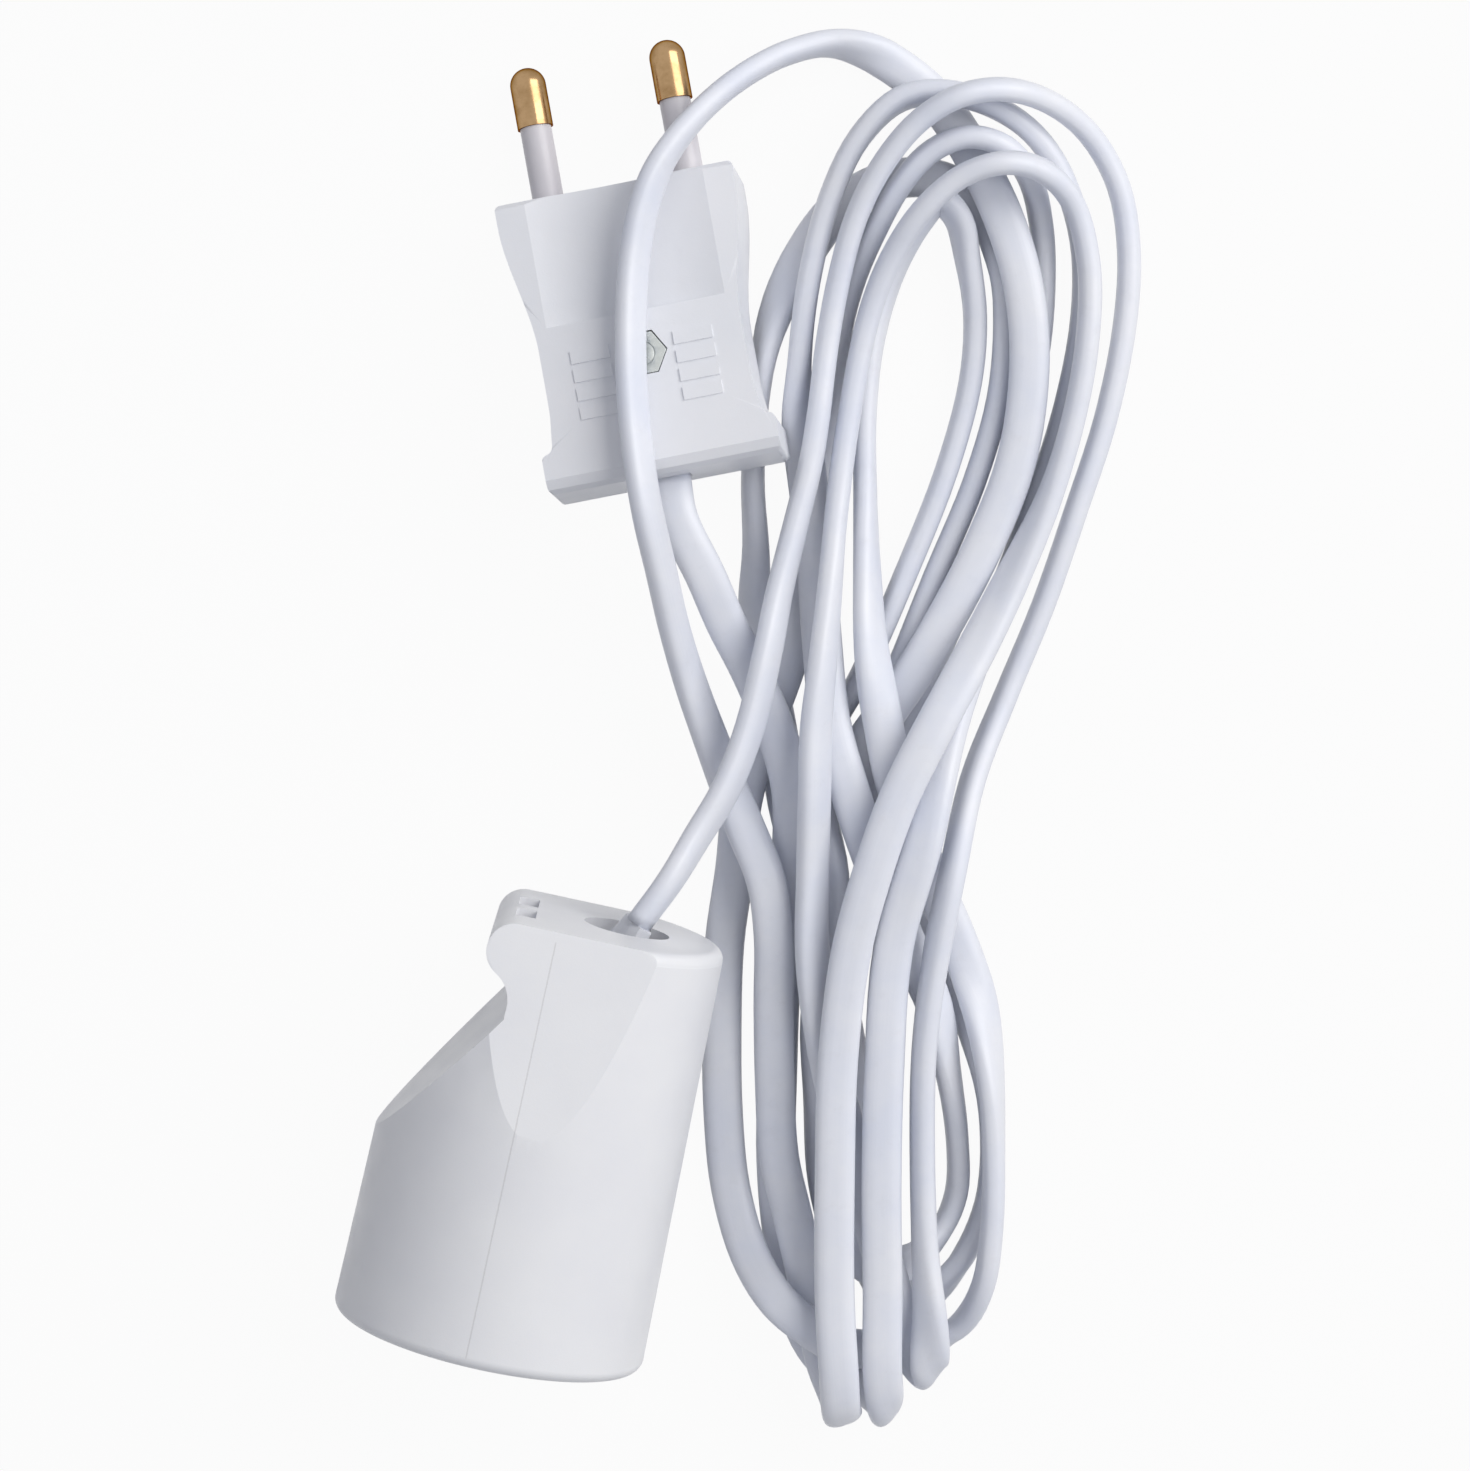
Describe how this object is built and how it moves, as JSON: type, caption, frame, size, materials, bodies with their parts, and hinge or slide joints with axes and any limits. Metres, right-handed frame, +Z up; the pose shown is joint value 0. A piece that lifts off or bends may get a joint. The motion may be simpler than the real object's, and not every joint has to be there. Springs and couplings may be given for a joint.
{
  "type": "extension cord",
  "caption": "White household extension lead: a flat two-pin plug with sleeved brass pins, a round hooked coupler with a shuttered socket, and a flat twin cord laid in a loose hank.",
  "frame": {"origin": "on the surface the lead lies on, under the middle of the coupler", "axes": "+Z up; +Y along the coupler from its open mouth to its cord entry; +X across, away from the coupler's hook, towards the hank"},
  "size_m": [0.0984, 0.1845, 0.0429],
  "materials": {
    "coupler_plastic": "moulded white thermoplastic, fine satin",
    "plug_plastic": "moulded white thermoplastic, satin",
    "pin_sleeve": "white insulating sleeve",
    "cord_pvc": "white flexible PVC, soft sheen",
    "pin_brass": "drawn brass, lightly brushed",
    "brass": "stamped brass",
    "zinc_steel": "zinc plated",
    "core_brown": "brown PVC",
    "core_blue": "blue PVC"
  },
  "bodies": {
    "lead": {"socket_hood": "coupler_plastic", "socket_face": "coupler_plastic", "contact_carrier": "coupler_plastic", "contact_left": "brass", "contact_right": "brass", "socket_terminal_screws": "zinc_steel", "shutter_spring": "zinc_steel", "socket_assembly_screw": "zinc_steel", "socket_cord_clamp": "coupler_plastic", "socket_clamp_screws": "zinc_steel", "socket_core_brown": "core_brown", "socket_core_blue": "core_blue", "socket_cord_tail": "cord_pvc", "plug_upper_shell": "plug_plastic", "plug_lower_shell": "plug_plastic", "plug_pin_left": "pin_brass", "plug_pin_right": "pin_brass", "pin_sleeve_left": "pin_sleeve", "pin_sleeve_right": "pin_sleeve", "pin_bridge": "plug_plastic", "plug_terminal_screws": "zinc_steel", "plug_cord_clamp": "plug_plastic", "plug_clamp_screws": "zinc_steel", "plug_assembly_screw": "zinc_steel", "plug_nut": "zinc_steel", "plug_core_brown": "core_brown", "plug_core_blue": "core_blue", "plug_cord_tail": "cord_pvc", "cord_plug_end": "cord_pvc", "cord_hank": "cord_pvc", "cord_socket_end": "cord_pvc"},
    "shutter": {"child_shutter": "coupler_plastic"}
  },
  "joints": [
    {"name": "shutter_slide", "type": "slide", "parent": "lead", "child": "shutter", "axis": [0, 0, 1], "range_m": [0, 0.0056], "stiffness_N_per_m": 150, "springref_m": -0.003, "deforming": ["shutter_spring"]}
  ]
}
